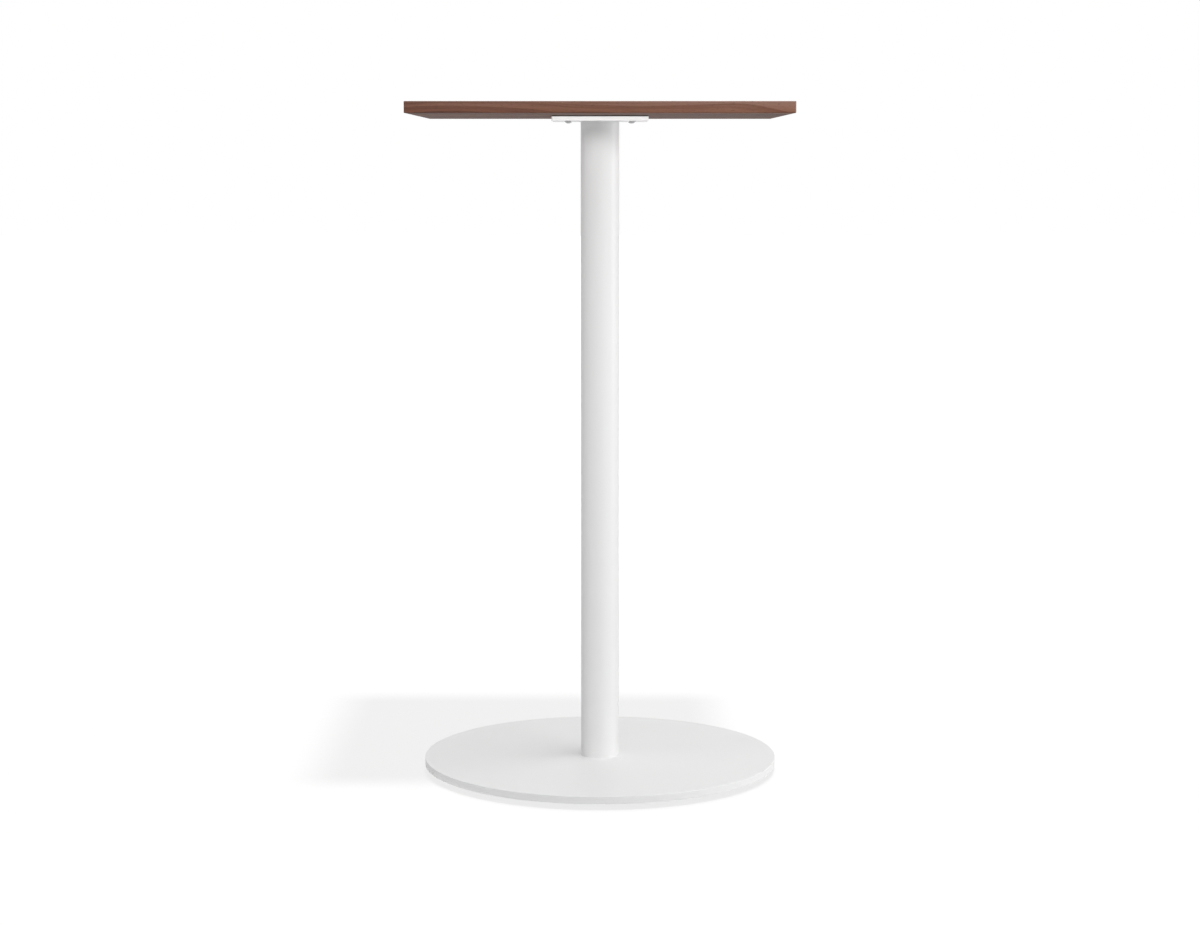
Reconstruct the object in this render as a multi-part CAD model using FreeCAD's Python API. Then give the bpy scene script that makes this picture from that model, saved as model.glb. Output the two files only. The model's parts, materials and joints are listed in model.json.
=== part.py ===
"""Pedestal bar table: a square walnut top on a slim steel column and a flat round steel base.

The column is welded to a square mounting plate that is screwed up into the top. A plug is welded into
the column's lower end, and four flat-head screws pull it down onto the base disc from beneath. The disc
stands a finger's width off the floor on four screw-in levelling glides.

Millimetres, +Z up. The origin is on the floor, on the column's axis. X is the width seen from the front
and -Y is the front.
"""

import FreeCAD
import Part

import math
import os

# The whole table
OVERALL_HEIGHT = 1110.0

# Top panel
TOP_WIDTH = 600.0
TOP_DEPTH = 600.0
TOP_THICKNESS = 18.0
TOP_CORNER_RADIUS = 2.0
TOP_ARRIS_RADIUS = 1.0

# Base disc
BASE_DIAMETER = 590.0
BASE_THICKNESS = 12.0
BASE_EDGE_CHAMFER = 1.0

# Column
COLUMN_DIAMETER = 63.5
COLUMN_WALL = 3.0

# Plug welded into the column's lower end
PLUG_THICKNESS = 20.0
PLUG_WELD_GAP = 0.1
PLUG_CHAMFER = 1.0
PLUG_DRAIN_DIAMETER = 8.0

# Flat-head screws from the base disc into the plug
BASE_SCREW_COUNT = 4
BASE_SCREW_DIAMETER = 8.0
BASE_SCREW_LENGTH = 25.0
BASE_SCREW_HEAD_DIAMETER = 16.0
BASE_SCREW_HEAD_LAND = 0.4
BASE_SCREW_HEAD_RECESS = 0.3
BASE_SCREW_SOCKET_FLATS = 5.0
BASE_SCREW_SOCKET_DEPTH = 3.0
BASE_SCREW_INSET = 10.75

# Mounting plate, welded to the column's upper end
PLATE_SIDE = 157.0
PLATE_THICKNESS = 7.0
PLATE_CORNER_RADIUS = 3.0
PLATE_ARRIS_RADIUS = 0.5
PLATE_VENT_DIAMETER = 12.0

# Thin pad between the mounting plate and the top
GASKET_THICKNESS = 1.5
GASKET_INSET = 1.0
GASKET_HOLE_MARGIN = 1.0

# Low round-head screws up through the plate, and the threaded inserts that they go into
PLATE_SCREW_INSET = 26.0
PLATE_SCREW_DIAMETER = 6.0
PLATE_SCREW_TIP_SPARE = 0.5
PLATE_SCREW_HEAD_DIAMETER = 10.5
PLATE_SCREW_HEAD_HEIGHT = 3.3
PLATE_SCREW_HEAD_SIDE = 1.2
PLATE_SCREW_SOCKET_FLATS = 4.0
PLATE_SCREW_SOCKET_DEPTH = 2.0
INSERT_WALL = 2.0
INSERT_LENGTH = 12.0
INSERT_CHAMFER = 0.8
INSERT_HOLE_SPARE_DEPTH = 0.5

# Levelling glides
GLIDE_COUNT = 4
GLIDE_FIRST_ANGLE = 45.0
GLIDE_INSET = 60.0
GLIDE_THREAD_DIAMETER = 8.0
GLIDE_THREAD_PITCH = 1.25
GLIDE_TIP_CHAMFER = 0.8
GLIDE_TIP_SPARE = 0.5
GLIDE_HOLE_ROOF = 2.0
GLIDE_COLLAR_FLATS = 13.0
GLIDE_COLLAR_HEIGHT = 2.8
GLIDE_COLLAR_TO_PAD = 1.2
GLIDE_FLANGE_DIAMETER = 14.0
GLIDE_FLANGE_THICKNESS = 1.8
PAD_DIAMETER = 34.0
PAD_HEIGHT = 6.0
PAD_FLOOR_THICKNESS = 2.0
PAD_FOOT_CHAMFER = 1.0
PAD_SHOULDER_CHAMFER = 2.5
PAD_AXIAL_PLAY = 0.05
PAD_RADIAL_PLAY = 0.3
PAD_SLOT_COUNT = 6
PAD_SLOT_WIDTH = 1.2
PAD_SLOT_OVERREACH = 1.5

# Clearances that several pieces share
THREAD_CLEARANCE = 0.05
SCREW_HOLE_CLEARANCE = 0.4
COUNTERSINK_CLEARANCE = 0.1
CUT_OVERRUN = 1.0

DRILL_POINT_HALF_ANGLE = 59.0
UP = FreeCAD.Vector(0, 0, 1)
AXIS_POINT = FreeCAD.Vector(0, 0, 0)

# Levels up the table, from the floor
base_bottom = PAD_HEIGHT + GLIDE_COLLAR_TO_PAD + GLIDE_COLLAR_HEIGHT
base_top = base_bottom + BASE_THICKNESS
panel_top = OVERALL_HEIGHT
panel_bottom = panel_top - TOP_THICKNESS
gasket_bottom = panel_bottom - GASKET_THICKNESS
plate_bottom = gasket_bottom - PLATE_THICKNESS
column_length = plate_bottom - base_top

# Column and plug
column_bore = COLUMN_DIAMETER - 2 * COLUMN_WALL
base_screw_radius = column_bore / 2 - BASE_SCREW_INSET

# Plate screws and inserts
plate_screw_spacing = PLATE_SIDE - 2 * PLATE_SCREW_INSET
plate_screw_length = PLATE_THICKNESS + GASKET_THICKNESS + INSERT_LENGTH - PLATE_SCREW_TIP_SPARE
plate_hole_diameter = PLATE_SCREW_DIAMETER + 2 * SCREW_HOLE_CLEARANCE
insert_diameter = PLATE_SCREW_DIAMETER + 2 * INSERT_WALL
insert_hole_diameter = insert_diameter + 2 * THREAD_CLEARANCE
insert_hole_depth = INSERT_LENGTH + INSERT_HOLE_SPARE_DEPTH

# Glides
glide_circle_radius = BASE_DIAMETER / 2 - GLIDE_INSET
glide_tapped_diameter = GLIDE_THREAD_DIAMETER + 2 * THREAD_CLEARANCE
glide_drill_diameter = GLIDE_THREAD_DIAMETER - GLIDE_THREAD_PITCH
glide_drill_point = glide_drill_diameter / 2 / math.tan(math.radians(DRILL_POINT_HALF_ANGLE))
glide_tap_top = base_top - GLIDE_HOLE_ROOF - glide_drill_point
glide_tip = glide_tap_top - GLIDE_TIP_SPARE
glide_collar_top = base_bottom
glide_collar_bottom = glide_collar_top - GLIDE_COLLAR_HEIGHT
glide_flange_bottom = PAD_FLOOR_THICKNESS + PAD_AXIAL_PLAY
glide_flange_top = glide_flange_bottom + GLIDE_FLANGE_THICKNESS


def around(radius, count, first_angle):
    """Places evenly spaced round a circle: (x, y) for each, counted from first_angle in degrees."""
    places = []
    for step in range(count):
        angle = math.radians(first_angle + 360.0 * step / count)
        places.append((radius * math.cos(angle), radius * math.sin(angle)))
    return places


def square_corners(spacing):
    """The four corners of a square pattern centred on the column: (x, y) for each."""
    half = spacing / 2
    return [(x, y) for x in (-half, half) for y in (-half, half)]


def rod(diameter, bottom, top, x=0, y=0):
    """A plain round bar or drill, standing between two levels."""
    return Part.makeCylinder(diameter / 2, top - bottom, FreeCAD.Vector(x, y, bottom), UP)


def hexagon(flats, bottom, top):
    """A hexagonal prism on the axis, measured across its flats."""
    corner_radius = flats / 2 / math.cos(math.pi / 6)
    corners = []
    for step in range(7):
        angle = step * math.pi / 3
        x = corner_radius * math.cos(angle)
        y = corner_radius * math.sin(angle)
        corners.append(FreeCAD.Vector(x, y, bottom))
    return Part.Face(Part.makePolygon(corners)).extrude(UP * (top - bottom))


def turned(outline):
    """A solid turned about the Z axis from a closed outline of (radius, level) corners."""
    corners = [FreeCAD.Vector(radius, 0, level) for radius, level in outline]
    return Part.Face(Part.makePolygon(corners + corners[:1])).revolve(AXIS_POINT, UP, 360)


def rounded_block(width, depth, bottom, top, corner_radius):
    """A rectangular block centred on the axis, with its four upright corners rounded."""
    corner = FreeCAD.Vector(-width / 2, -depth / 2, bottom)
    block = Part.makeBox(width, depth, top - bottom, corner)
    upright = [e for e in block.Edges if abs(e.tangentAt(e.FirstParameter).z) > 0.5]
    return block.makeFillet(corner_radius, upright)


def slab(width, depth, bottom, top, corner_radius, arris_radius):
    """A flat rectangular plate with rounded corners, and all its edges eased above and below."""
    plate = rounded_block(width, depth, bottom, top, corner_radius)
    face_edges = []
    for face in plate.Faces:
        if abs(face.normalAt(0, 0).z) > 0.5:
            face_edges.extend(face.Edges)
    return plate.makeFillet(arris_radius, face_edges)


def moved(shape, x, y):
    """A copy of a shape, carried sideways from the axis."""
    copy = shape.copy()
    copy.translate(FreeCAD.Vector(x, y, 0))
    return copy


def cut_all(shape, tools):
    """The shape with every tool taken out of it."""
    return shape.cut(Part.makeCompound(tools))


def table_top():
    """Solid wood panel with four blind holes beneath for the threaded inserts."""
    panel = slab(TOP_WIDTH, TOP_DEPTH, panel_bottom, panel_top, TOP_CORNER_RADIUS, TOP_ARRIS_RADIUS)
    drills = []
    for x, y in square_corners(plate_screw_spacing):
        drills.append(
            rod(insert_hole_diameter, panel_bottom - CUT_OVERRUN, panel_bottom + insert_hole_depth, x, y)
        )
    return cut_all(panel, drills)


def top_inserts():
    """Threaded inserts set flush into the panel's underside, with a chamfered nose."""
    outer = insert_diameter / 2
    bore = PLATE_SCREW_DIAMETER / 2 + THREAD_CLEARANCE
    bottom = panel_bottom
    top = panel_bottom + INSERT_LENGTH
    insert = turned(
        [
            (bore, bottom),
            (outer, bottom),
            (outer, top - INSERT_CHAMFER),
            (outer - INSERT_CHAMFER, top),
            (bore, top),
        ]
    )
    return Part.makeCompound([moved(insert, x, y) for x, y in square_corners(plate_screw_spacing)])


def plate_gasket():
    """Thin pad that keeps the steel plate off the wood, with a hole for each screw."""
    side = PLATE_SIDE - 2 * GASKET_INSET
    sheet = rounded_block(side, side, gasket_bottom, panel_bottom, PLATE_CORNER_RADIUS - GASKET_INSET)
    punches = []
    for x, y in square_corners(plate_screw_spacing):
        hole = plate_hole_diameter + 2 * GASKET_HOLE_MARGIN
        punches.append(rod(hole, gasket_bottom - CUT_OVERRUN, panel_bottom + CUT_OVERRUN, x, y))
    punches.append(rod(column_bore, gasket_bottom - CUT_OVERRUN, panel_bottom + CUT_OVERRUN))
    return cut_all(sheet, punches)


def mounting_plate():
    """Square steel plate with four screw holes, and a vent into the column for the coating line."""
    plate = slab(
        PLATE_SIDE, PLATE_SIDE, plate_bottom, gasket_bottom, PLATE_CORNER_RADIUS, PLATE_ARRIS_RADIUS
    )
    drills = []
    for x, y in square_corners(plate_screw_spacing):
        drills.append(
            rod(plate_hole_diameter, plate_bottom - CUT_OVERRUN, gasket_bottom + CUT_OVERRUN, x, y)
        )
    drills.append(rod(PLATE_VENT_DIAMETER, plate_bottom - CUT_OVERRUN, gasket_bottom + CUT_OVERRUN))
    return cut_all(plate, drills)


def plate_screws():
    """Low round-head socket screws, each a head against the plate and a shank up into its insert.

    The head has a short straight side, then a dome, part of a sphere, down to its lowest point.
    """
    head_radius = PLATE_SCREW_HEAD_DIAMETER / 2
    head_bottom = plate_bottom - PLATE_SCREW_HEAD_HEIGHT
    rise = PLATE_SCREW_HEAD_HEIGHT - PLATE_SCREW_HEAD_SIDE
    dome_radius = (head_radius**2 + rise**2) / (2 * rise)
    dome = Part.makeSphere(dome_radius, FreeCAD.Vector(0, 0, head_bottom + dome_radius))
    head = rod(PLATE_SCREW_HEAD_DIAMETER, head_bottom, plate_bottom).common(dome)
    shank = rod(PLATE_SCREW_DIAMETER, plate_bottom, plate_bottom + plate_screw_length)
    socket = hexagon(
        PLATE_SCREW_SOCKET_FLATS, head_bottom - CUT_OVERRUN, head_bottom + PLATE_SCREW_SOCKET_DEPTH
    )
    screw = head.fuse(shank).cut(socket).removeSplitter()
    return Part.makeCompound([moved(screw, x, y) for x, y in square_corners(plate_screw_spacing)])


def column_tube():
    """Round steel tube between the base disc and the mounting plate."""
    wall = rod(COLUMN_DIAMETER, base_top, base_top + column_length)
    bore = rod(column_bore, base_top - CUT_OVERRUN, base_top + column_length + CUT_OVERRUN)
    return wall.cut(bore)


def column_foot_plug():
    """Steel plug welded flush into the column's lower end, tapped for the base screws."""
    outer = column_bore / 2 - PLUG_WELD_GAP
    drain = PLUG_DRAIN_DIAMETER / 2
    top = base_top + PLUG_THICKNESS
    plug = turned(
        [
            (drain, base_top),
            (outer, base_top),
            (outer, top - PLUG_CHAMFER),
            (outer - PLUG_CHAMFER, top),
            (drain, top),
        ]
    )
    tapped = BASE_SCREW_DIAMETER + 2 * THREAD_CLEARANCE
    drills = []
    for x, y in around(base_screw_radius, BASE_SCREW_COUNT, 0):
        drills.append(rod(tapped, base_top - CUT_OVERRUN, top + CUT_OVERRUN, x, y))
    return cut_all(plug, drills)


def countersink():
    """The drill for one flat-head screw through the disc: a cone under the head and a clear hole."""
    hole_radius = BASE_SCREW_DIAMETER / 2 + SCREW_HOLE_CLEARANCE
    mouth_radius = BASE_SCREW_HEAD_DIAMETER / 2 + COUNTERSINK_CLEARANCE
    land_top = base_bottom + BASE_SCREW_HEAD_RECESS + BASE_SCREW_HEAD_LAND
    cone_top = land_top + mouth_radius - hole_radius
    return turned(
        [
            (0, base_bottom - CUT_OVERRUN),
            (mouth_radius, base_bottom - CUT_OVERRUN),
            (mouth_radius, land_top),
            (hole_radius, cone_top),
            (hole_radius, base_top + CUT_OVERRUN),
            (0, base_top + CUT_OVERRUN),
        ]
    )


def glide_tapping():
    """The blind tapped hole for one levelling glide, with its drill point above the thread."""
    return turned(
        [
            (0, base_bottom - CUT_OVERRUN),
            (glide_tapped_diameter / 2, base_bottom - CUT_OVERRUN),
            (glide_tapped_diameter / 2, glide_tap_top),
            (glide_drill_diameter / 2, glide_tap_top),
            (0, glide_tap_top + glide_drill_point),
        ]
    )


def base_disc():
    """Heavy steel disc with chamfered edges, countersunk and tapped from beneath only."""
    rim = BASE_DIAMETER / 2
    disc = turned(
        [
            (0, base_bottom),
            (rim - BASE_EDGE_CHAMFER, base_bottom),
            (rim, base_bottom + BASE_EDGE_CHAMFER),
            (rim, base_top - BASE_EDGE_CHAMFER),
            (rim - BASE_EDGE_CHAMFER, base_top),
            (0, base_top),
        ]
    )
    screw_places = around(base_screw_radius, BASE_SCREW_COUNT, 0)
    glide_places = around(glide_circle_radius, GLIDE_COUNT, GLIDE_FIRST_ANGLE)
    drills = [moved(countersink(), x, y) for x, y in screw_places]
    drills.extend(moved(glide_tapping(), x, y) for x, y in glide_places)
    return cut_all(disc, drills)


def base_screws():
    """Flat-head socket screws that pull the column's plug down onto the disc."""
    head_radius = BASE_SCREW_HEAD_DIAMETER / 2
    shank_radius = BASE_SCREW_DIAMETER / 2
    bottom = base_bottom + BASE_SCREW_HEAD_RECESS
    land_top = bottom + BASE_SCREW_HEAD_LAND
    cone_top = land_top + head_radius - shank_radius
    body = turned(
        [
            (0, bottom),
            (head_radius, bottom),
            (head_radius, land_top),
            (shank_radius, cone_top),
            (shank_radius, bottom + BASE_SCREW_LENGTH),
            (0, bottom + BASE_SCREW_LENGTH),
        ]
    )
    socket = hexagon(BASE_SCREW_SOCKET_FLATS, bottom - CUT_OVERRUN, bottom + BASE_SCREW_SOCKET_DEPTH)
    screw = body.cut(socket)
    places = around(base_screw_radius, BASE_SCREW_COUNT, 0)
    return Part.makeCompound([moved(screw, x, y) for x, y in places])


def glide_stem():
    """A glide's threaded stem: a flange held in the pad, a spanner collar, and the thread."""
    flange_radius = GLIDE_FLANGE_DIAMETER / 2
    thread_radius = GLIDE_THREAD_DIAMETER / 2
    spindle = turned(
        [
            (0, glide_flange_bottom),
            (flange_radius, glide_flange_bottom),
            (flange_radius, glide_flange_top),
            (thread_radius, glide_flange_top),
            (thread_radius, glide_tip - GLIDE_TIP_CHAMFER),
            (thread_radius - GLIDE_TIP_CHAMFER, glide_tip),
            (0, glide_tip),
        ]
    )
    collar = hexagon(GLIDE_COLLAR_FLATS, glide_collar_bottom, glide_collar_top)
    return spindle.fuse(collar).removeSplitter()


def glide_pad():
    """A glide's moulded foot: a low round pad, slotted round its mouth to snap over the stem's flange."""
    outer = PAD_DIAMETER / 2
    neck = GLIDE_THREAD_DIAMETER / 2 + PAD_RADIAL_PLAY
    pocket = GLIDE_FLANGE_DIAMETER / 2 + PAD_RADIAL_PLAY
    pocket_top = glide_flange_top + PAD_AXIAL_PLAY
    pad = turned(
        [
            (0, 0),
            (outer - PAD_FOOT_CHAMFER, 0),
            (outer, PAD_FOOT_CHAMFER),
            (outer, PAD_HEIGHT - PAD_SHOULDER_CHAMFER),
            (outer - PAD_SHOULDER_CHAMFER, PAD_HEIGHT),
            (neck, PAD_HEIGHT),
            (neck, pocket_top),
            (pocket, pocket_top),
            (pocket, PAD_FLOOR_THICKNESS),
            (0, PAD_FLOOR_THICKNESS),
        ]
    )
    slot_length = pocket + PAD_SLOT_OVERREACH
    slot_height = PAD_HEIGHT + CUT_OVERRUN - pocket_top
    slots = []
    for step in range(PAD_SLOT_COUNT):
        slot = Part.makeBox(slot_length, PAD_SLOT_WIDTH, slot_height)
        slot.translate(FreeCAD.Vector(0, -PAD_SLOT_WIDTH / 2, pocket_top))
        slot.rotate(AXIS_POINT, UP, 360.0 * step / PAD_SLOT_COUNT)
        slots.append(slot)
    return cut_all(pad, slots)


def build():
    """Every piece of the table by its name."""
    pieces = {
        "table_top": table_top(),
        "top_inserts": top_inserts(),
        "plate_gasket": plate_gasket(),
        "mounting_plate": mounting_plate(),
        "plate_screws": plate_screws(),
        "column_tube": column_tube(),
        "column_foot_plug": column_foot_plug(),
        "base_disc": base_disc(),
        "base_screws": base_screws(),
    }
    stem = glide_stem()
    pad = glide_pad()
    for number, (x, y) in enumerate(around(glide_circle_radius, GLIDE_COUNT, GLIDE_FIRST_ANGLE), 1):
        pieces[f"glide_stem_{number}"] = moved(stem, x, y)
        pieces[f"glide_pad_{number}"] = moved(pad, x, y)
    return pieces


os.makedirs("parts", exist_ok=True)
for name, shape in build().items():
    shape.exportStep(os.path.join("parts", name + ".step"))
    solids = len(shape.Solids)
    print(f"{name}: {solids} solid(s), {shape.Volume / 1000:.2f} cm3, valid {shape.isValid()}")
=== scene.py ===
"""Looks of the pedestal bar table: its finishes, the fine edges of its base disc, its threaded fasteners,
the studio light and the camera.

Metres, +Z up. The origin is on the floor under the column, X is the width from the front and -Y the front.
"""

import json
import math

import bpy
import numpy as np
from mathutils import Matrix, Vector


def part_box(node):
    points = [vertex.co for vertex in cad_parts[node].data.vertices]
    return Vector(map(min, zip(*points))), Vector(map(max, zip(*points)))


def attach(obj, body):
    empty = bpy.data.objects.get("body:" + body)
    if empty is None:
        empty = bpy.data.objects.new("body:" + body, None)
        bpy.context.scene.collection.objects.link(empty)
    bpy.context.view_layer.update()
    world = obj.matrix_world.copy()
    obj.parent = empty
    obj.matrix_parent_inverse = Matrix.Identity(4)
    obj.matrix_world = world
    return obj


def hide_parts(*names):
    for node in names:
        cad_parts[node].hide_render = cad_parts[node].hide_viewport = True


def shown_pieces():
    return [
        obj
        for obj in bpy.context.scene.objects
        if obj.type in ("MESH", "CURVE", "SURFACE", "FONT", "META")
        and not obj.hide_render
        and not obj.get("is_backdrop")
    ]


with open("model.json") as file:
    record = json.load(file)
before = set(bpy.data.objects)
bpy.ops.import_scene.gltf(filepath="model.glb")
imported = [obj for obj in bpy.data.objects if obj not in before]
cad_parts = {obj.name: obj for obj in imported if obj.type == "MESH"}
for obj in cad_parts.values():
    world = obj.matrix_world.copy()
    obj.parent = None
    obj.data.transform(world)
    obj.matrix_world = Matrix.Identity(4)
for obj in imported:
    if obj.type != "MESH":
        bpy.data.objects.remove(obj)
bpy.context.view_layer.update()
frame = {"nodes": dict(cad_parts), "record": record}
solids = frame["nodes"]

WHITE = (1.0, 1.0, 1.0, 1.0)

# Numbers of the levelling glides
GLIDES = (1, 2, 3, 4)

# The camera stands in front of the table, a little under the level of its top, and looks slightly down.
IMAGE_WIDTH = 1200
CAMERA_FOCAL_PIXELS = 2566.7
CAMERA_DISTANCE = 4.2563
CAMERA_HEIGHT = 1.0233
CAMERA_PITCH = math.radians(6.761)
CAMERA_SENSOR_MM = 36.0

# White surround. A brighter band lies along the horizon, and leans a little to the right and the front.
SURROUND_LEVEL = 0.18
HORIZON_LEVEL = 1.10
HORIZON_DEPTH = 0.20
HORIZON_LEAN = (0.15, -0.10, 0.0)

# Names of what a lamp lights or is shaded by. No names leave nothing out. WHOLE_TABLE is all its pieces.
EVERYTHING = []
WHOLE_TABLE = ["whole table"]
FLOOR = ["studio_floor"]
TOP = ["table_top"]
PLATE = ["mounting_plate"]
COLUMN = ["column_tube"]
DISC = ["base_disc_coated"]
UPPER = TOP + PLATE + COLUMN + ["plate_screws_threaded"]
UNDERSIDE = DISC + ["base_screws_threaded"]
for number in GLIDES:
    UNDERSIDE += [f"glide_pad_{number}", f"glide_stem_threaded_{number}"]

# Round soft lamps: place, width, light, the pieces that they light, and those that throw a shadow there.
FLOOR_KEY_LIGHT = 0.62
FLOOR_FILL_LIGHT = 0.24
LAMPS = {
    "floor_key": ((0.96, -1.64, 9.0), 0.72, FLOOR_KEY_LIGHT, FLOOR, EVERYTHING),
    "overhead": ((2.4, -3.6, 8.0), 6.0, 0.66, TOP, FLOOR),
    "disc_above": ((0.3, -1.0, 4.5), 12.0, 1.17, DISC, COLUMN + FLOOR),
    "disc_side": ((4.8, -1.2, 3.7), 9.0, 0.48, DISC, COLUMN + FLOOR),
    "side": ((6.4, -1.2, 7.2), 3.6, 0.13, WHOLE_TABLE, PLATE),
    "low_side": ((9.0, 0.0, 1.0), 2.4, 0.22, UPPER, PLATE),
    "front": ((0.35, -4.0, 3.4), 3.0, 0.45, COLUMN, PLATE),
    "back": ((-0.35, 4.0, 3.4), 3.0, 0.40, COLUMN, PLATE),
    "rim_fill": ((-8.0, -3.0, 1.2), 2.0, 0.10, DISC, COLUMN),
    "rim_front": ((5.0, -6.0, 0.5), 2.0, 0.038, DISC, COLUMN),
    "floor_beneath": ((-0.3, 4.5, 8.0), 2.0, FLOOR_FILL_LIGHT, FLOOR, DISC),
    "plate_fill": ((0.3, -4.0, 0.5), 1.5, 0.71, PLATE, EVERYTHING),
    "beneath": ((0.3, -0.4, -6.0), 3.0, 0.42, UNDERSIDE, UNDERSIDE),
}

# The light of these lamps isn't thrown on from piece to piece.
DIRECT_ONLY = ("back", "beneath", "disc_above", "disc_side")

# White floor. Near the table a shadow takes away at most this brightness, and the rest is its own glow.
FLOOR_HALF_WIDTH = 30.0
FLOOR_SHADE = 0.235
FLOOR_GLOW = 0.786

# Between these distances from the table its glow rises past white, so that no shadow shows further off.
FLOOR_FADE = (1.0, 3.0)
FLOOR_GLOW_FAR = 1.10

# How bright the floor is where it lights the table
FLOOR_BOUNCE = 0.58


class Value:
    """What a node gives, held so that a sum over nodes is written like any other sum."""

    def __init__(self, owner, socket):
        self.owner = owner
        self.socket = socket

    def __add__(self, other):
        return self.owner.math("ADD", self, other)

    def __sub__(self, other):
        return self.owner.math("SUBTRACT", self, other)

    def __mul__(self, other):
        return self.owner.math("MULTIPLY", self, other)

    def __truediv__(self, other):
        return self.owner.math("DIVIDE", self, other)


class Nodes:
    """The node tree of one material or world, with short calls that add a node and return its value."""

    def __init__(self, holder):
        holder.use_nodes = True
        self.holder = holder
        self.tree = holder.node_tree
        self.tree.nodes.clear()

    def add(self, kind, inputs=None, **settings):
        """A new node. Plain values are set on its sockets, and other nodes' values are linked to them."""
        node = self.tree.nodes.new(kind)
        for key, value in settings.items():
            setattr(node, key, value)
        for key, value in (inputs or {}).items():
            if isinstance(value, Value):
                self.tree.links.new(value.socket, node.inputs[key])
            else:
                node.inputs[key].default_value = value
        return node

    def given(self, kind, output, inputs=None, **settings):
        """What a new node gives at one of its outputs."""
        return Value(self, self.add(kind, inputs, **settings).outputs[output])

    def place(self):
        """Object coordinates, in metres from the table's origin."""
        return self.given("ShaderNodeTexCoord", "Object")

    def math(self, operation, *values):
        """A sum, a product or another operation on one or two numbers."""
        return self.given("ShaderNodeMath", 0, dict(enumerate(values)), operation=operation)

    def vector(self, operation, *values):
        """The same on vectors or colours, part by part, or a length or a dot product."""
        output = "Value" if operation in ("LENGTH", "DOT_PRODUCT") else "Vector"
        return self.given("ShaderNodeVectorMath", output, dict(enumerate(values)), operation=operation)

    def parts(self, vector):
        """The X, Y and Z of a vector, or the red, green and blue of a colour."""
        node = self.add("ShaderNodeSeparateXYZ", {0: vector})
        return [Value(self, socket) for socket in node.outputs]

    def together(self, x, y, z):
        """One vector or colour from its three parts."""
        return self.given("ShaderNodeCombineXYZ", 0, {0: x, 1: y, 2: z})

    def stretched(self, place, scales):
        """A place with its parts multiplied by three scales, which draws a noise out along the smallest."""
        return self.vector("MULTIPLY", place, scales)

    def noise(self, place, scale=1.0, detail=2.0, roughness=0.5):
        """Smooth random values between 0 and 1, about half on average, in `scale` waves to the metre."""
        inputs = {"Vector": place, "Scale": scale, "Detail": detail, "Roughness": roughness}
        return self.given("ShaderNodeTexNoise", "Fac", inputs)

    def chances(self, number):
        """Three random values between 0 and 1 that belong to one whole number."""
        inputs = {"W": number}
        return self.parts(self.given("ShaderNodeTexWhiteNoise", "Color", inputs, noise_dimensions="1D"))

    def ramp(self, factor, stops):
        """Colours or grey values along a factor, from (place, colour) stops."""
        node = self.add("ShaderNodeValToRGB", {0: factor})
        elements = node.color_ramp.elements
        while len(elements) < len(stops):
            elements.new(1.0)
        for element, (position, colour) in zip(elements, stops):
            element.position = position
            element.color = (*colour, 1.0) if isinstance(colour, tuple) else (colour, colour, colour, 1.0)
        return Value(self, node.outputs["Color"])

    def mixed(self, share, first, second):
        """The first colour, with a share of the second. The node's sockets 6 and 7 take its two colours."""
        inputs = {0: share, 6: first, 7: second}
        return self.given("ShaderNodeMix", 2, inputs, data_type="RGBA")

    def range(self, value, low, high, new_low, new_high):
        """A value carried from one range to another, held at its ends."""
        inputs = {0: value, 1: low, 2: high, 3: new_low, 4: new_high}
        return self.given("ShaderNodeMapRange", 0, inputs)

    def between(self, share, first, second):
        """The first value at a share of 0 and the second at a share of 1."""
        return self.range(share, 0.0, 1.0, first, second)

    def bump(self, height, distance, strength):
        """The surface's normal over small heights, where a height of 1 is the distance in metres."""
        inputs = {"Height": height, "Distance": distance, "Strength": strength}
        return self.given("ShaderNodeBump", "Normal", inputs)

    def seen_directly(self):
        """1 for what the camera sees, also in a gloss or a clear body, and 0 for what lights the table."""
        path = self.add("ShaderNodeLightPath").outputs
        kinds = ("Is Camera Ray", "Is Glossy Ray", "Is Transmission Ray")
        straight, glossy, clear = [Value(self, path[kind]) for kind in kinds]
        return self.math("MAXIMUM", straight, self.math("MAXIMUM", glossy, clear))

    def surface(self, **inputs):
        """The Principled shader on the material's output. A name's underscores stand for spaces."""
        named = {key.replace("_", " "): value for key, value in inputs.items()}
        shader = self.given("ShaderNodeBsdfPrincipled", 0, named)
        self.add("ShaderNodeOutputMaterial", {"Surface": shader})
        return self.holder


def material(name):
    """The node tree of a new material."""
    return Nodes(bpy.data.materials.new(name))


# Most of a noise's values lie between these two.
NOISE_SPAN = (0.3, 0.7)

# Walnut top, glued up from staves side by side along Y, whose joints stray from even spacing
STAVE_WIDTH = 0.10
STAVE_STRAY = 0.012
STAVE_STRAY_WAVE = 17.0
STAVE_SEED = 21.5
STAVE_SECOND_SEED = 121.5

# The heart line of each stave: how far it lies to the side and below, and its slopes along X
HEART_SIDE = 0.07
HEART_DEPTHS = (0.022, 0.077)
HEART_LEAN = 0.05
HEART_RISE = 0.13

# Waves that bend the growth rings: scales along X, Y and Z, how far they bend, and a stave's own shift
SLOW_WAVES = (2.1, 7.0, 7.0)
SLOW_BEND = 0.036
QUICK_WAVES = (8.0, 45.0, 45.0)
QUICK_BEND = 0.0046
WAVE_SHIFT = (9.0, 9.0, 9.0)

# Growth rings: their spacing, by how many rings they stray, at what scale, and the tones across one ring
RING_SPACING = 0.0056
RING_STRAY = 3.0
RING_STRAY_SCALE = 90.0
RING_TONES = ((0.0, 0.95), (0.35, 0.75), (0.78, 0.25), (0.90, 0.0), (1.0, 0.95))

# Noises that follow the rings: scales outwards from the heart line, along X and from stave to stave
BAND_SCALES = (120.0, 0.7, 7.0)
STREAK_SCALES = (210.0, 1.3, 5.0)
STREAK_SPAN = (0.58, 0.72)

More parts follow.
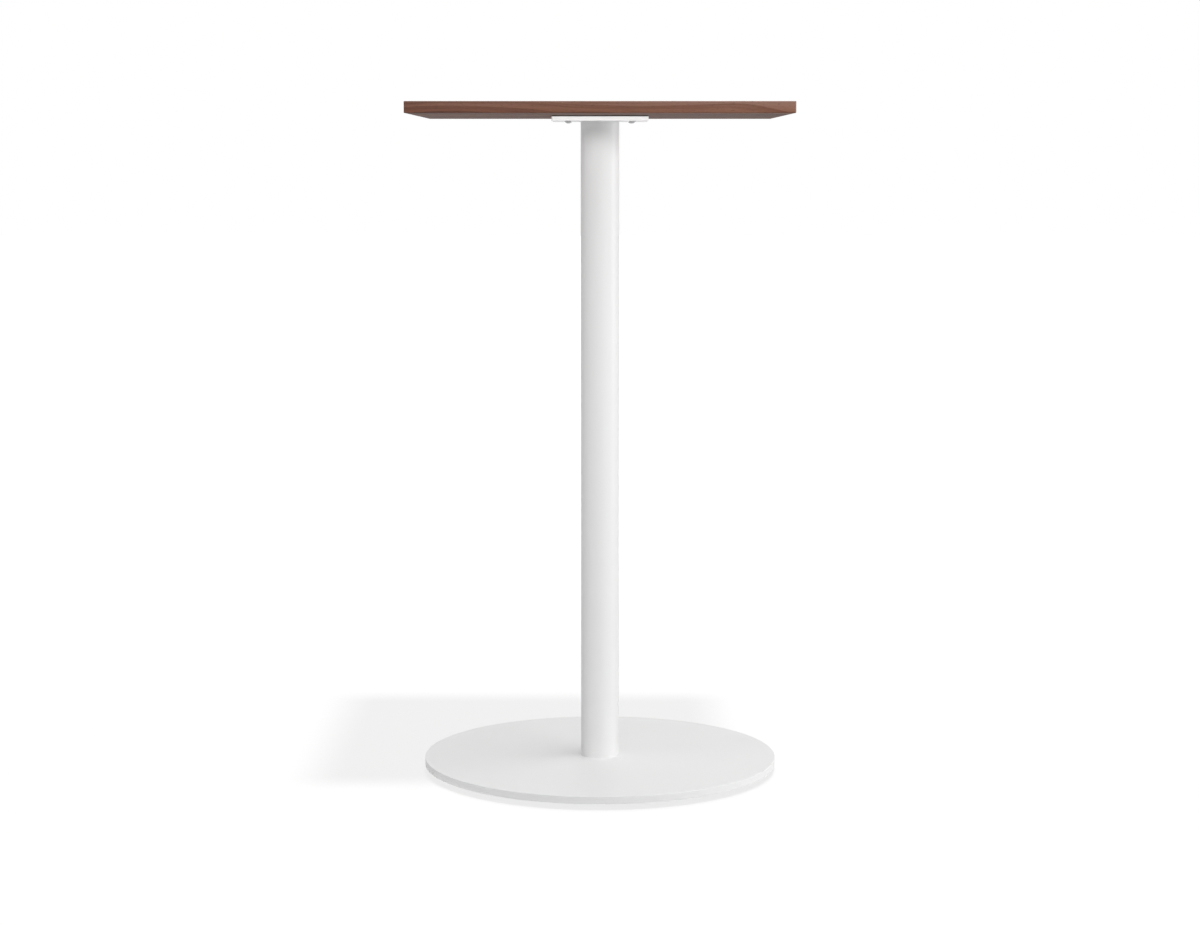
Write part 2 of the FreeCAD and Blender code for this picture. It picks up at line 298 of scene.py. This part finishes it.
# Fibres and pores along X
FIBRE_SCALES = (14.0, 900.0, 900.0)
PORE_SCALES = (130.0, 2600.0, 2600.0)
PORE_SPAN = (0.60, 0.70)

# How far the fibres stand up where a pore goes down by 1
FIBRE_RELIEF = 0.35

# What each of these adds to the wood's tone, which runs from 0, dark, to 1, pale
BASE_TONE = -0.06
BAND_TONE = 0.95
RING_TONE = 0.21
STREAK_TONE = -0.16
FIBRE_TONE = 0.32
# UPPER_FACE_TONE takes back part of the painted shade by height on the upper face and on the underside
UPPER_FACE_TONE = -0.05
STAVE_TONES = (-0.035, 0.105)

# How much the tone rises in a metre along X, from stave to stave, and in a metre upwards, which is painted
# shade darkening the wood towards its lower edge
# For the front edge's stave the seed and these slopes make the tone rise to the right: the wood's own
# random tone, and painted light from the right
STAVE_SLOPES = (-0.45, 0.55)
PAINTED_SHADE_BY_HEIGHT = 10.0

# The wood's colours by tone, and its green and blue by height, a painted sheen that greys the upper edge
# and leaves the lower edge more red
WALNUT_COLOURS = (
    (0.15, (0.056, 0.020, 0.010)),
    (0.38, (0.120, 0.043, 0.023)),
    (0.58, (0.204, 0.085, 0.050)),
    (0.80, (0.310, 0.155, 0.104)),
)
PORE_COLOUR = (0.028, 0.012, 0.008, 1.0)
PORE_SHARE = 0.55
SHEEN_GREEN_BY_HEIGHT = (0.905, 1.10)
SHEEN_BLUE_BY_HEIGHT = (0.84, 1.21)

# The bare underside: its grey, how much of it shows, and how far a face must turn down to show it
BARE_COLOUR = (0.104, 0.097, 0.094, 1.0)
BARE_SHARE = 0.45
BARE_FACING = (-1.0, -0.6)

# Roughness of the bare underside and of the oiled upper face, and what a cloud or a pore adds
BARE_ROUGHNESS = 0.82
OILED_ROUGHNESS = 0.36
CLOUD_ROUGHNESS = 0.10
PORE_ROUGHNESS = 0.08


def walnut():
    """Solid walnut cut in three dimensions, so that long grain, end grain and underside all agree.

    A stave is the whole number in (y + stray sin(wave y)) / width. Its growth rings are cones round a heart
    line under it, which runs almost along X, and slow and quick waves bend them. Where the face cuts them
    they draw arches along the stave's middle and lines at its sides. Broad bands and dark streaks follow
    the rings, and fine fibres and pores run along X. From its upper edge to its lower one the wood turns
    darker and more red: painted shade darkens it downwards, and a painted sheen greys its upper edge.
    The underside is left bare, and has greyed.
    """
    f = material("oiled_walnut")
    low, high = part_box("table_top")
    place = f.place()
    x, y, z = f.parts(place)
    height = z - (low[2] + high[2]) / 2
    count = (y + f.math("SINE", y * STAVE_STRAY_WAVE) * STAVE_STRAY) / STAVE_WIDTH
    stave = f.math("FLOOR", count)
    chance = f.chances(stave + STAVE_SEED)
    other = f.chances(stave + STAVE_SECOND_SEED)

    across = (f.math("FRACT", count) - 0.5) * STAVE_WIDTH
    side = across + (chance[1] - 0.5) * HEART_SIDE + x * (chance[2] - 0.5) * HEART_LEAN
    depth = f.between(other[0], *HEART_DEPTHS)
    above = height + depth + x * (other[1] - 0.5) * HEART_RISE
    radius = f.vector("LENGTH", f.together(side, above, 0.0))
    shift = f.stretched(f.together(*chance), WAVE_SHIFT)
    slow = f.noise(f.vector("ADD", f.stretched(place, SLOW_WAVES), shift), detail=1.5)
    quick = f.noise(f.vector("ADD", f.stretched(place, QUICK_WAVES), shift))
    bent = radius + slow * SLOW_BEND + quick * QUICK_BEND

    stray = f.noise(f.together(bent * RING_STRAY_SCALE, other[2], 0.0))
    rings = f.ramp(f.math("FRACT", bent / RING_SPACING + stray * RING_STRAY), RING_TONES)
    bands = f.noise(f.stretched(f.together(bent, x, other[2]), BAND_SCALES), detail=3.0, roughness=0.6)
    streaky = f.noise(f.stretched(f.together(bent, x, chance[1]), STREAK_SCALES))
    streaks = f.range(streaky, *STREAK_SPAN, 0.0, 1.0)
    fibres = f.noise(f.stretched(place, FIBRE_SCALES), detail=3.0, roughness=0.6)
    pores = f.range(f.noise(f.stretched(place, PORE_SCALES), detail=1.0), *PORE_SPAN, 0.0, 1.0)

    facing_up = f.parts(f.given("ShaderNodeTexCoord", "Normal"))[2]
    figure = bands * BAND_TONE + rings * RING_TONE + streaks * STREAK_TONE + (fibres - 0.5) * FIBRE_TONE
    level = f.between(other[2], *STAVE_TONES) + facing_up * UPPER_FACE_TONE + BASE_TONE
    # Painted shade: the tone falls from the upper edge towards the lower one. The front stave's slope along
    # X also paints light rising to the right
    slope_and_shade = x * f.between(chance[0], *STAVE_SLOPES) + height * PAINTED_SHADE_BY_HEIGHT
    tone = figure + level + slope_and_shade
    oiled = f.mixed(pores * PORE_SHARE, f.ramp(tone, WALNUT_COLOURS), PORE_COLOUR)
    # Painted sheen: greener and bluer, so greyer, towards the upper edge, and more red towards the lower
    # one
    green = f.range(z, low[2], high[2], *SHEEN_GREEN_BY_HEIGHT)
    blue = f.range(z, low[2], high[2], *SHEEN_BLUE_BY_HEIGHT)
    sheen_tinted = f.vector("MULTIPLY", oiled, f.together(1.0, green, blue))
    bare = f.range(facing_up, *BARE_FACING, BARE_SHARE, 0.0)
    dull = f.range(facing_up, -1.0, 1.0, BARE_ROUGHNESS, OILED_ROUGHNESS)
    clouds = f.noise(place, scale=35.0, detail=3.0)
    return f.surface(
        Base_Color=f.mixed(bare, sheen_tinted, BARE_COLOUR),
        Roughness=dull + clouds * CLOUD_ROUGHNESS + pores * PORE_ROUGHNESS,
        Normal=f.bump(fibres * FIBRE_RELIEF - pores, distance=0.00004, strength=0.6),
        IOR=1.45,
    )


# Powder coat: how white it is, what a cloud adds, what a speck of dust takes away, and where specks come up
COAT_WHITE = 0.815
COAT_CLOUD = 0.025
COAT_SPECK = 0.05
COAT_SPECK_SPAN = (0.73, 0.80)


def powder_coat():
    """White polyester powder coat on steel: a soft gloss over a faint orange peel, with specks of dust."""
    f = material("white_powder_coat")
    place = f.place()
    peel = f.noise(place, scale=650.0, roughness=0.45)
    specks = f.range(f.noise(place, scale=1500.0, detail=1.0), *COAT_SPECK_SPAN, 0.0, 1.0)
    white = f.noise(place, scale=6.0, detail=3.0) * COAT_CLOUD + COAT_WHITE - specks * COAT_SPECK
    return f.surface(
        Base_Color=f.together(white, white, white),
        Roughness=f.between(f.noise(place, scale=60.0, detail=3.0), 0.40, 0.50),
        Normal=f.bump(peel, distance=0.00003, strength=0.35),
        IOR=1.5,
    )


def zinc_steel():
    """Zinc-plated steel, a little dulled: grey with a fine crystal mottle."""
    f = material("zinc_plated_steel")
    place = f.place()
    mottle = f.noise(place, scale=900.0, detail=4.0, roughness=0.6)
    grey = f.range(mottle, *NOISE_SPAN, 0.30, 0.46)
    return f.surface(
        Base_Color=f.together(grey, grey, grey * 1.02),
        Metallic=1.0,
        Roughness=f.range(f.noise(place, scale=400.0), *NOISE_SPAN, 0.24, 0.42),
        Normal=f.bump(mottle, distance=0.00001, strength=0.4),
    )


# Brass where it is dull and where it is bright, and the scales of the lathe's marks
BRASS_COLOURS = ((0.3, (0.58, 0.42, 0.19)), (0.7, (0.76, 0.60, 0.32)))
LATHE_SCALES = (0.0, 0.0, 6000.0)


def turned_brass():
    """Turned brass, a little dulled, with the fine rings that the lathe's tool leaves."""
    f = material("turned_brass")
    place = f.place()
    dull = f.noise(place, scale=300.0, detail=3.0)
    marks = f.noise(f.stretched(place, LATHE_SCALES), detail=1.0)
    return f.surface(
        Base_Color=f.ramp(dull, BRASS_COLOURS),
        Metallic=1.0,
        Roughness=f.range(dull, *NOISE_SPAN, 0.36, 0.22),
        Normal=f.bump(marks, distance=0.00001, strength=0.5),
    )


def dark_rubber():
    """Black rubber sheet with a fine cloth-pressed grain and a grey bloom."""
    f = material("black_rubber")
    place = f.place()
    bloom = f.noise(place, scale=45.0, detail=3.0)
    cloth = f.noise(place, scale=1800.0, detail=1.0)
    black = f.range(bloom, *NOISE_SPAN, 0.028, 0.050)
    return f.surface(
        Base_Color=f.together(black, black, black),
        Roughness=f.range(bloom, *NOISE_SPAN, 0.62, 0.80),
        Normal=f.bump(cloth, distance=0.00005, strength=0.6),
    )


def moulded_nylon():
    """Off-white moulded nylon, slightly clear, with a spark-eroded mould grain."""
    f = material("moulded_nylon")
    place = f.place()
    grain = f.noise(place, scale=1500.0)
    white = f.range(f.noise(place, scale=80.0), *NOISE_SPAN, 0.60, 0.66)
    return f.surface(
        Base_Color=f.together(white, white, white * 0.97),
        Roughness=f.range(grain, *NOISE_SPAN, 0.42, 0.56),
        Normal=f.bump(grain, distance=0.00004, strength=0.6),
        Subsurface_Weight=0.08,
        Subsurface_Scale=0.002,
    )


# The finish of each material slot in the record
finishes = {
    "walnut": walnut(),
    "white_coat": powder_coat(),
    "steel": zinc_steel(),
    "brass": turned_brass(),
    "dark_pad": dark_rubber(),
    "nylon": moulded_nylon(),
}

# An edge that turns by more than this shows sharp.
SHARP_EDGE = math.radians(35.0)


def dress():
    """Gives every CAD node the finish of its material slot in the record."""
    for row in frame["record"]["subparts"]:
        for holder in solids[row["node"]].material_slots:
            holder.material = finishes[row["material_slot"]]


def shown(name, points, faces, body, node, slot):
    """A new piece that rides on a body and shows in place of a CAD node, smooth but for its sharp edges."""
    mesh = bpy.data.meshes.new(name)
    mesh.from_pydata(points.tolist(), [], faces)
    mesh.shade_smooth()
    mesh.set_sharp_from_angle(angle=SHARP_EDGE)
    mesh.materials.append(finishes[slot])
    piece = bpy.data.objects.new(name, mesh)
    bpy.context.scene.collection.objects.link(piece)
    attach(piece, body)
    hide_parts(node)


# The base disc's chamfers as the solid has them, and the share of each that shows under the coat
DISC_CHAMFER = 0.001
DISC_ARRIS_SHARE = 0.25


def base_disc():
    """The base disc as the solid has it, with the chamfers along its rim drawn in to fine arrises.

    A point within two chamfers of the rim keeps DISC_ARRIS_SHARE of its distance from the rim, and of its
    distance from the nearer of the two flat faces. The solid's loose triangles are merged first.
    """
    low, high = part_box("base_disc")
    solid = solids["base_disc"].data
    points = np.empty((len(solid.vertices), 3))
    solid.vertices.foreach_get("co", points.ravel())
    corners = np.empty(len(solid.loops), dtype=int)
    solid.loops.foreach_get("vertex_index", corners)
    points, merged = np.unique(points.round(6), axis=0, return_inverse=True)
    triangles = merged.reshape(-1)[corners].reshape(-1, 3)
    whole = (triangles != np.roll(triangles, 1, axis=1)).all(axis=1)

    rim = high[0]
    radius = np.hypot(points[:, 0], points[:, 1])
    edge = radius > rim - 2 * DISC_CHAMFER
    level = points[edge, 2]
    face = np.where(level > (low[2] + high[2]) / 2, high[2], low[2])
    drawn_in = rim - (rim - radius[edge]) * DISC_ARRIS_SHARE
    points[edge, :2] *= (drawn_in / radius[edge])[:, None]
    points[edge, 2] = face + (level - face) * DISC_ARRIS_SHARE
    shown("base_disc_coated", points, triangles[whole].tolist(), "table", "base_disc", "white_coat")


# Threaded fasteners, turned row by row round the Z axis from a socket or a flat end up to the tip
ANGLES = np.linspace(0.0, 2.0 * np.pi, 48, endpoint=False)
TIP_CHAMFER = 0.0008

# A thread's rows in one turn, and its depth as a share of its pitch
THREAD_ROWS_PER_TURN = 8
THREAD_DEPTH_SHARE = 0.6134

# Plate screws: a round head with a short straight side, and a hexagon socket of this width over its flats
PLATE_SCREW_WIDTH = 0.006
PLATE_SCREW_PITCH = 0.001
PLATE_SCREW_HEAD_WIDTH = 0.0105
PLATE_SCREW_HEAD_SIDE = 0.0012
PLATE_SCREW_SOCKET = 0.004
PLATE_SCREW_SOCKET_DEPTH = 0.002
PLATE_SCREW_MOUTH_SHARE = 1.08
PLATE_SCREW_DOME_ROWS = 9

# Base screws: a flat head with a thin land round its rim
BASE_SCREW_WIDTH = 0.008
BASE_SCREW_PITCH = 0.00125
BASE_SCREW_HEAD_WIDTH = 0.016
BASE_SCREW_HEAD_LAND = 0.0004
BASE_SCREW_SOCKET = 0.005
BASE_SCREW_SOCKET_DEPTH = 0.003

# Glide stems: a flange that sits in the pad, and a six-sided collar for a spanner
STEM_WIDTH = 0.008
STEM_PITCH = 0.00125
STEM_FLANGE_WIDTH = 0.014
STEM_FLANGE_THICKNESS = 0.0018
STEM_COLLAR_FLATS = 0.013
STEM_COLLAR_HEIGHT = 0.0028
STEM_COLLAR_CHAMFER = 0.0005


def ring(radius, level):
    """One row of points round the axis. Radius and level are single values, or one for each angle."""
    rows = np.broadcast_arrays(radius * np.cos(ANGLES), radius * np.sin(ANGLES), level)
    return np.stack(rows, axis=-1).reshape(1, -1, 3)


def hexagon(flats):
    """A hexagon's radius at each angle: half its width over flats by the cosine of the turn off a flat."""
    return flats / 2 / np.cos(ANGLES % (np.pi / 3) - np.pi / 6)


def thread(width, pitch, bottom, top):
    """Rows of a right-hand thread, with a chamfered tip.

    At level z and angle a the turn is t = z / pitch - a / 2 pi. The ridge stands by the trapezium wave
    (|2 frac(t) - 1| - 1/4) / (5/8), held between 0 and 1, over a root one thread depth inside the width.
    """
    step = pitch / THREAD_ROWS_PER_TURN
    levels = np.arange(bottom, top - step / 2, step)[:, None]
    wave = np.abs(2.0 * ((levels / pitch - ANGLES / (2.0 * np.pi)) % 1.0) - 1.0)
    ridge = np.clip((wave - 1 / 4) / (5 / 8), 0.0, 1.0)
    radius = width / 2 - THREAD_DEPTH_SHARE * pitch * (1.0 - ridge)
    radius = np.minimum(radius, width / 2 - TIP_CHAMFER + (top - levels))
    points = [radius * np.cos(ANGLES), radius * np.sin(ANGLES), levels + 0.0 * ANGLES]
    return np.concatenate([np.stack(points, axis=-1), ring(width / 2 - TIP_CHAMFER, top)])


def turned(name, rows, places, body, node):
    """Closed steel copies of one turned shape at some (x, y) places, in place of a CAD node on its body.

    Each row joins the next by one band of four-sided faces, and the first and last rows are closed flat.
    """
    rows = np.concatenate(rows)
    height, width, _ = rows.shape
    index = np.arange(height * width).reshape(height, width)
    after = np.roll(index, -1, axis=1)
    quads = np.stack([index[:-1], after[:-1], after[1:], index[1:]], axis=-1).reshape(-1, 4)
    vertices = []
    faces = []
    for count, (x, y) in enumerate(places):
        first = count * height * width
        vertices.append(rows.reshape(-1, 3) + (x, y, 0.0))
        faces.extend((quads + first).tolist())
        faces.append((index[0, ::-1] + first).tolist())
        faces.append((index[-1] + first).tolist())
    shown(name, np.concatenate(vertices), faces, body, node, "steel")


def plate_screws():
    """Button-head socket screws up through the plate.

    The head's dome, of rise h over radius r, is part of a sphere of radius R = (r^2 + h^2) / 2h. At radius
    a it lies R - sqrt(R^2 - a^2) above its lowest point.
    """
    low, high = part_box("plate_screws")
    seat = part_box("mounting_plate")[0][2]
    reach = PLATE_SCREW_HEAD_WIDTH / 2
    rise = seat - low[2] - PLATE_SCREW_HEAD_SIDE
    dome = (reach**2 + rise**2) / (2 * rise)
    socket = hexagon(PLATE_SCREW_SOCKET)
    mouth = socket.max() * PLATE_SCREW_MOUTH_SHARE
    rows = [ring(socket, low[2] + PLATE_SCREW_SOCKET_DEPTH)]
    for radius in (socket, *np.linspace(mouth, reach, PLATE_SCREW_DOME_ROWS)):
        rows.append(ring(radius, low[2] + dome - np.sqrt(dome**2 - radius**2)))
    rows.append(ring(reach, seat))
    rows.append(thread(PLATE_SCREW_WIDTH, PLATE_SCREW_PITCH, seat, high[2]))
    places = [(x, y) for x in (low[0] + reach, high[0] - reach) for y in (low[1] + reach, high[1] - reach)]
    turned("plate_screws_threaded", rows, places, "table", "plate_screws")


def base_screws():
    """Flat-head socket screws up through the disc into the column's plug. The head's cone is 90 degrees."""
    low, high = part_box("base_screws")
    reach = BASE_SCREW_HEAD_WIDTH / 2
    land = low[2] + BASE_SCREW_HEAD_LAND
    neck = land + reach - BASE_SCREW_WIDTH / 2
    socket = hexagon(BASE_SCREW_SOCKET)
    rows = [
        ring(socket, low[2] + BASE_SCREW_SOCKET_DEPTH),
        ring(socket, low[2]),
        ring(reach, low[2]),
        ring(reach, land),
        ring(BASE_SCREW_WIDTH / 2, neck),
        thread(BASE_SCREW_WIDTH, BASE_SCREW_PITCH, neck + BASE_SCREW_PITCH / 2, high[2]),
    ]
    out = high[0] - reach
    turned("base_screws_threaded", rows, [(out, 0), (0, out), (-out, 0), (0, -out)], "table", "base_screws")


def glide_stem(number):
    """A levelling glide's stem: the flange in its pad, the spanner collar and the thread."""
    node = f"glide_stem_{number}"
    low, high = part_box(node)
    collar_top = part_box("base_disc")[0][2]
    collar_bottom = collar_top - STEM_COLLAR_HEIGHT
    flange_top = low[2] + STEM_FLANGE_THICKNESS
    collar = hexagon(STEM_COLLAR_FLATS)
    eased = np.minimum(collar, STEM_COLLAR_FLATS / 2 + STEM_COLLAR_CHAMFER / 2)
    rows = [
        ring(STEM_FLANGE_WIDTH / 2, low[2]),
        ring(STEM_FLANGE_WIDTH / 2, flange_top),
        ring(STEM_WIDTH / 2, flange_top),
        ring(STEM_WIDTH / 2, collar_bottom),
        ring(eased, collar_bottom),
        ring(collar, collar_bottom + STEM_COLLAR_CHAMFER),
        ring(collar, collar_top - STEM_COLLAR_CHAMFER),
        ring(eased, collar_top),
        thread(STEM_WIDTH, STEM_PITCH, collar_top, high[2]),
    ]
    place = ((low[0] + high[0]) / 2, (low[1] + high[1]) / 2)
    turned(f"glide_stem_threaded_{number}", rows, [place], f"stem_{number}", node)


def studio_floor():
    """A plain white floor. Seen directly it glows white and keeps a light shadow. From beneath it is clear.

    Its colour is the wanted brightness over the light that falls on it. That is the surround's level, about
    the horizon band's level by its depth squared, and the light of the two lamps that light the floor.
    """
    half = FLOOR_HALF_WIDTH
    mesh = bpy.data.meshes.new("studio_floor")
    corners = [(-half, -half, 0), (half, -half, 0), (half, half, 0), (-half, half, 0)]
    mesh.from_pydata(corners, [], [(0, 1, 2, 3)])
    floor = bpy.data.objects.new("studio_floor", mesh)
    bpy.context.scene.collection.objects.link(floor)

    f = material("studio_floor")
    seen = f.seen_directly()
    full_light = SURROUND_LEVEL + HORIZON_LEVEL * HORIZON_DEPTH**2 + FLOOR_KEY_LIGHT + FLOOR_FILL_LIGHT
    level = f.between(seen, FLOOR_BOUNCE / full_light, FLOOR_SHADE / full_light)
    lit = f.given("ShaderNodeBsdfDiffuse", 0, {"Color": f.together(level, level, level)})
    away = f.vector("LENGTH", f.place())
    glow = seen * f.range(away, *FLOOR_FADE, FLOOR_GLOW, FLOOR_GLOW_FAR)
    shine = f.given("ShaderNodeEmission", 0, {"Color": WHITE, "Strength": glow})
    top = f.given("ShaderNodeAddShader", 0, {0: lit, 1: shine})
    clear = f.given("ShaderNodeBsdfTransparent", 0)
    beneath = f.given("ShaderNodeNewGeometry", "Backfacing")
    both = f.given("ShaderNodeMixShader", 0, {0: beneath, 1: top, 2: clear})
    f.add("ShaderNodeOutputMaterial", {"Surface": both})
    mesh.materials.append(f.holder)
    floor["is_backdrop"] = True


def surround():
    """The white world. It shows plain white, and lights the table a little unevenly, as a studio does.

    The band along the horizon is e to the power of -(h / HORIZON_DEPTH)^4, at height h from 0 to 1.
    """
    world = bpy.data.worlds.new("surround")
    bpy.context.scene.world = world
    f = Nodes(world)
    direction = f.given("ShaderNodeTexCoord", "Generated")
    height = f.math("ABSOLUTE", f.parts(direction)[2]) / HORIZON_DEPTH
    band = f.math("EXPONENT", f.math("POWER", height, 4.0) * -1.0)
    lean = f.vector("DOT_PRODUCT", direction, HORIZON_LEAN) + 1.0
    level = band * lean * HORIZON_LEVEL + SURROUND_LEVEL
    strength = f.between(f.seen_directly(), level, 1.0)
    light = f.given("ShaderNodeBackground", 0, {"Color": WHITE, "Strength": strength})
    f.add("ShaderNodeOutputWorld", {"Surface": light})


def group_of(name, names):
    """A collection of the pieces with these names, for a lamp to light or be shaded by."""
    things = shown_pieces() if names == WHOLE_TABLE else [bpy.data.objects[member] for member in names]
    group = bpy.data.collections.new(name)
    for thing in things:
        group.objects.link(thing)
    return group


def lamp(name, place, width, light, lit, shading):
    """A round soft lamp aimed at the table's foot. It gives `light` there, where 1 makes white look white.

    A surface that faces a lamp of power P from distance d gets P / (pi d^2), and shows pi times less of it,
    so P is the light times pi squared times d squared. A lamp that is wide for its distance gives less. The
    camera sees no lamp.
    """
    data = bpy.data.lights.new(name, "AREA")
    data.shape = "DISK"
    data.size = width
    data.energy = light * math.pi**2 * float(np.dot(place, place))
    if name in DIRECT_ONLY:
        data.cycles.max_bounces = 0
    thing = bpy.data.objects.new(name, data)
    bpy.context.scene.collection.objects.link(thing)
    thing.location = place
    thing.visible_camera = False
    x, y, z = place
    thing.rotation_euler = (math.atan2(math.hypot(x, y), z), 0.0, math.atan2(x, -y))
    if lit:
        thing.light_linking.receiver_collection = group_of(name + "_lights", lit)
    if shading:
        thing.light_linking.blocker_collection = group_of(name + "_shading", shading)


def camera():
    """The camera, from its focal length in pixels of the picture's width, its place and its pitch."""
    data = bpy.data.cameras.new("camera")
    data.sensor_fit = "HORIZONTAL"
    data.sensor_width = CAMERA_SENSOR_MM
    data.lens = CAMERA_FOCAL_PIXELS / IMAGE_WIDTH * CAMERA_SENSOR_MM
    thing = bpy.data.objects.new("camera", data)
    bpy.context.scene.collection.objects.link(thing)
    thing.location = (0.0, -CAMERA_DISTANCE, CAMERA_HEIGHT)
    thing.rotation_euler = (math.pi / 2 - CAMERA_PITCH, 0.0, 0.0)
    bpy.context.scene.camera = thing


dress()
base_disc()
plate_screws()
base_screws()
for number in GLIDES:
    glide_stem(number)
studio_floor()
surround()
for name, settings in LAMPS.items():
    lamp(name, *settings)
camera()
bpy.context.scene.view_settings.view_transform = "Standard"
